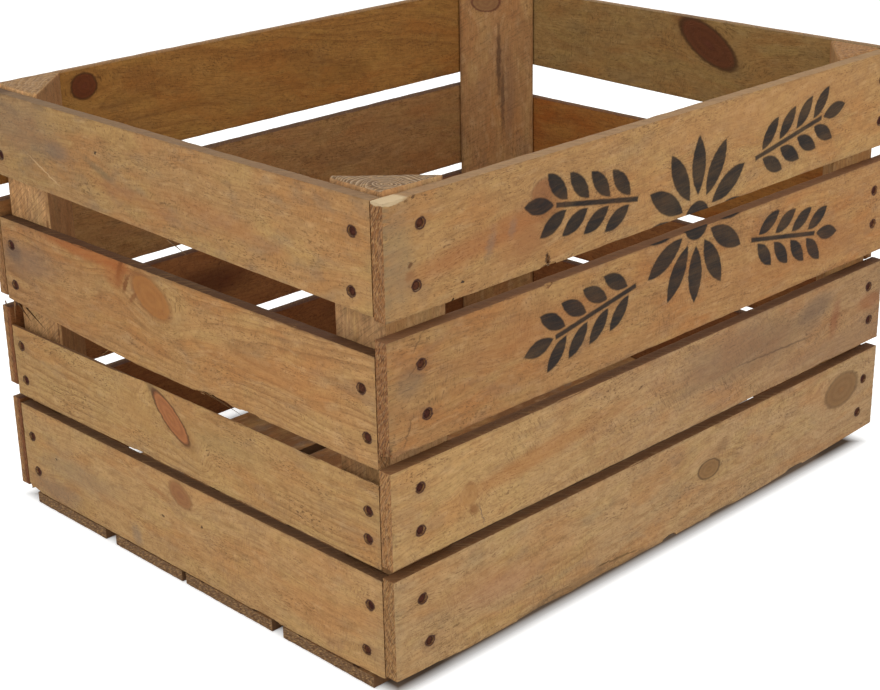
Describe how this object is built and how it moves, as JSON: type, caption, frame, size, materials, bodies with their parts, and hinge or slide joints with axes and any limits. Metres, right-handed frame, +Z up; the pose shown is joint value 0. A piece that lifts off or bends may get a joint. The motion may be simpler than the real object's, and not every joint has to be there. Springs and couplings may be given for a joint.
{
  "type": "wooden crate",
  "caption": "Open rectangular storage crate of rough pine slats nailed to triangular corner posts, with a boarded bottom and hand-hold gaps in both ends.",
  "frame": {"origin": "centre of the crate's outline at the underside of the bottom boards", "axes": "+Z up, +X along the long sides, the marked long side faces -Y"},
  "size_m": [0.5, 0.4002, 0.308],
  "materials": {
    "slat_pine": "rough sawn, handled and slightly dirty",
    "post_pine": "rough sawn",
    "board_pine": "rough sawn, dirtier than the sides",
    "nail_steel": "rusted",
    "stencil_ink": "thin matte stencil ink with soft sprayed edges"
  },
  "bodies": {
    "root": {"post_front_left": "post_pine", "post_front_right": "post_pine", "post_back_right": "post_pine", "post_back_left": "post_pine", "front_slat_1": "slat_pine", "front_slat_2": "slat_pine", "front_slat_3": "slat_pine", "front_slat_4": "slat_pine", "right_slat_1": "slat_pine", "right_slat_2": "slat_pine", "right_slat_3": "slat_pine", "right_slat_4": "slat_pine", "back_slat_1": "slat_pine", "back_slat_2": "slat_pine", "back_slat_3": "slat_pine", "back_slat_4": "slat_pine", "left_slat_1": "slat_pine", "left_slat_2": "slat_pine", "left_slat_3": "slat_pine", "left_slat_4": "slat_pine", "bottom_board_1": "board_pine", "bottom_board_2": "board_pine", "bottom_board_3": "board_pine", "bottom_board_4": "board_pine", "nails_front": "nail_steel", "nails_right": "nail_steel", "nails_back": "nail_steel", "nails_left": "nail_steel", "nails_bottom": "nail_steel", "stencil_upper": "stencil_ink", "stencil_lower": "stencil_ink"}
  },
  "joints": []
}
